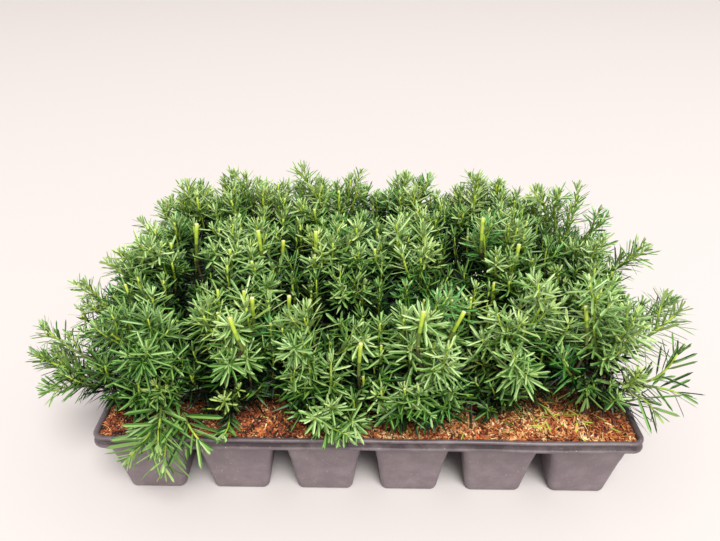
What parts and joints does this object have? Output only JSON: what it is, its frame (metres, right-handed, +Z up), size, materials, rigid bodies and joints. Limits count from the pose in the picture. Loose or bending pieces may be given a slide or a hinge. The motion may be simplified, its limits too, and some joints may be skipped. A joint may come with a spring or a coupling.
{
  "type": "potted yew",
  "caption": "Young densiformis yews with spiky merging crowns of flat green needles, growing in a long dark plastic nursery tray of tapered cells filled with bark and coir medium.",
  "frame": {"origin": "on the floor, in the middle of the tray's footprint, which is also the middle of the crown's footprint", "axes": "+X along the tray's long side, +Y across it from the front to the back, +Z up"},
  "size_m": [0.6431, 0.32, 0.2837],
  "materials": {
    "tray": "dark warm grey moulded plastic with a satin, slightly dusty surface",
    "growing_medium": "coarse reddish brown bark and coir",
    "stem": "rough brown bark turning yellow-green",
    "leader_foliage": "glossy mid-green needles",
    "skirt_foliage": "darker green needles"
  },
  "bodies": {
    "root": {"growing_medium": "growing_medium", "leader_foliage_back_1": "leader_foliage", "leader_foliage_back_2": "leader_foliage", "leader_foliage_back_3": "leader_foliage", "leader_foliage_back_4": "leader_foliage", "leader_foliage_back_5": "leader_foliage", "leader_foliage_back_6": "leader_foliage", "leader_foliage_front_1": "leader_foliage", "leader_foliage_front_2": "leader_foliage", "leader_foliage_front_3": "leader_foliage", "leader_foliage_front_4": "leader_foliage", "leader_foliage_front_5": "leader_foliage", "leader_foliage_front_6": "leader_foliage", "leader_foliage_middle_1": "leader_foliage", "leader_foliage_middle_2": "leader_foliage", "leader_foliage_middle_3": "leader_foliage", "leader_foliage_middle_4": "leader_foliage", "leader_foliage_middle_5": "leader_foliage", "leader_foliage_middle_6": "leader_foliage", "skirt_foliage_back_1": "skirt_foliage", "skirt_foliage_back_2": "skirt_foliage", "skirt_foliage_back_3": "skirt_foliage", "skirt_foliage_back_4": "skirt_foliage", "skirt_foliage_back_5": "skirt_foliage", "skirt_foliage_back_6": "skirt_foliage", "skirt_foliage_front_1": "skirt_foliage", "skirt_foliage_front_2": "skirt_foliage", "skirt_foliage_front_3": "skirt_foliage", "skirt_foliage_front_4": "skirt_foliage", "skirt_foliage_front_5": "skirt_foliage", "skirt_foliage_front_6": "skirt_foliage", "skirt_foliage_middle_1": "skirt_foliage", "skirt_foliage_middle_2": "skirt_foliage", "skirt_foliage_middle_3": "skirt_foliage", "skirt_foliage_middle_4": "skirt_foliage", "skirt_foliage_middle_5": "skirt_foliage", "skirt_foliage_middle_6": "skirt_foliage", "stem_back_1": "stem", "stem_back_2": "stem", "stem_back_3": "stem", "stem_back_4": "stem", "stem_back_5": "stem", "stem_back_6": "stem", "stem_front_1": "stem", "stem_front_2": "stem", "stem_front_3": "stem", "stem_front_4": "stem", "stem_front_5": "stem", "stem_front_6": "stem", "stem_middle_1": "stem", "stem_middle_2": "stem", "stem_middle_3": "stem", "stem_middle_4": "stem", "stem_middle_5": "stem", "stem_middle_6": "stem", "tray": "tray"}
  },
  "joints": []
}
